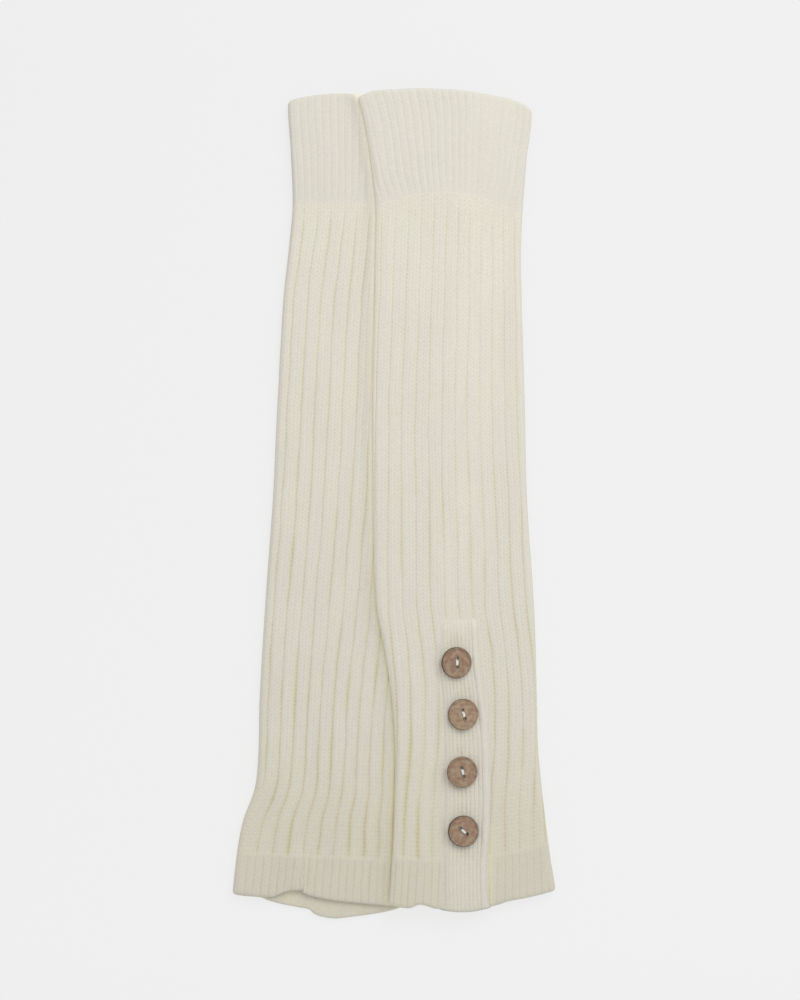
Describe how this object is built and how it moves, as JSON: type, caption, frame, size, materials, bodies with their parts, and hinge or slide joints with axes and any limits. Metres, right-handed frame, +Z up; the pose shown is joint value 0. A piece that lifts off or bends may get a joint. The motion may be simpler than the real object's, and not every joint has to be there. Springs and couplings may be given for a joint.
{
  "type": "pair of ribbed knit leg warmers",
  "caption": "Knee-high leg warmers in chunky ivory rib knit, laid flat with one lapping the other, with a wooden-buttoned band at the ankle.",
  "frame": {"origin": "on the table, under the middle of the pair's footprint", "axes": "+Z up off the table, +Y along the warmers to the top cuffs, +X across the pair to the one with the buttons"},
  "size_m": [0.1607, 0.4154, 0.0172],
  "materials": {
    "leg_knit": "matte chunky rib knit",
    "cuff_knit": "matte one by one rib knit",
    "hem_knit": "matte fine rib knit",
    "band_knit": "matte fine rib knit",
    "button_wood": "satin turned wood",
    "white_thread": "matte thread"
  },
  "bodies": {
    "root": {"left_cuff": "cuff_knit", "left_leg": "leg_knit", "left_hem": "hem_knit", "right_cuff": "cuff_knit", "right_leg": "leg_knit", "right_hem": "hem_knit", "button_band": "band_knit", "button_1": "button_wood", "button_2": "button_wood", "button_3": "button_wood", "button_4": "button_wood", "thread_1": "white_thread", "thread_2": "white_thread", "thread_3": "white_thread", "thread_4": "white_thread"}
  },
  "joints": []
}
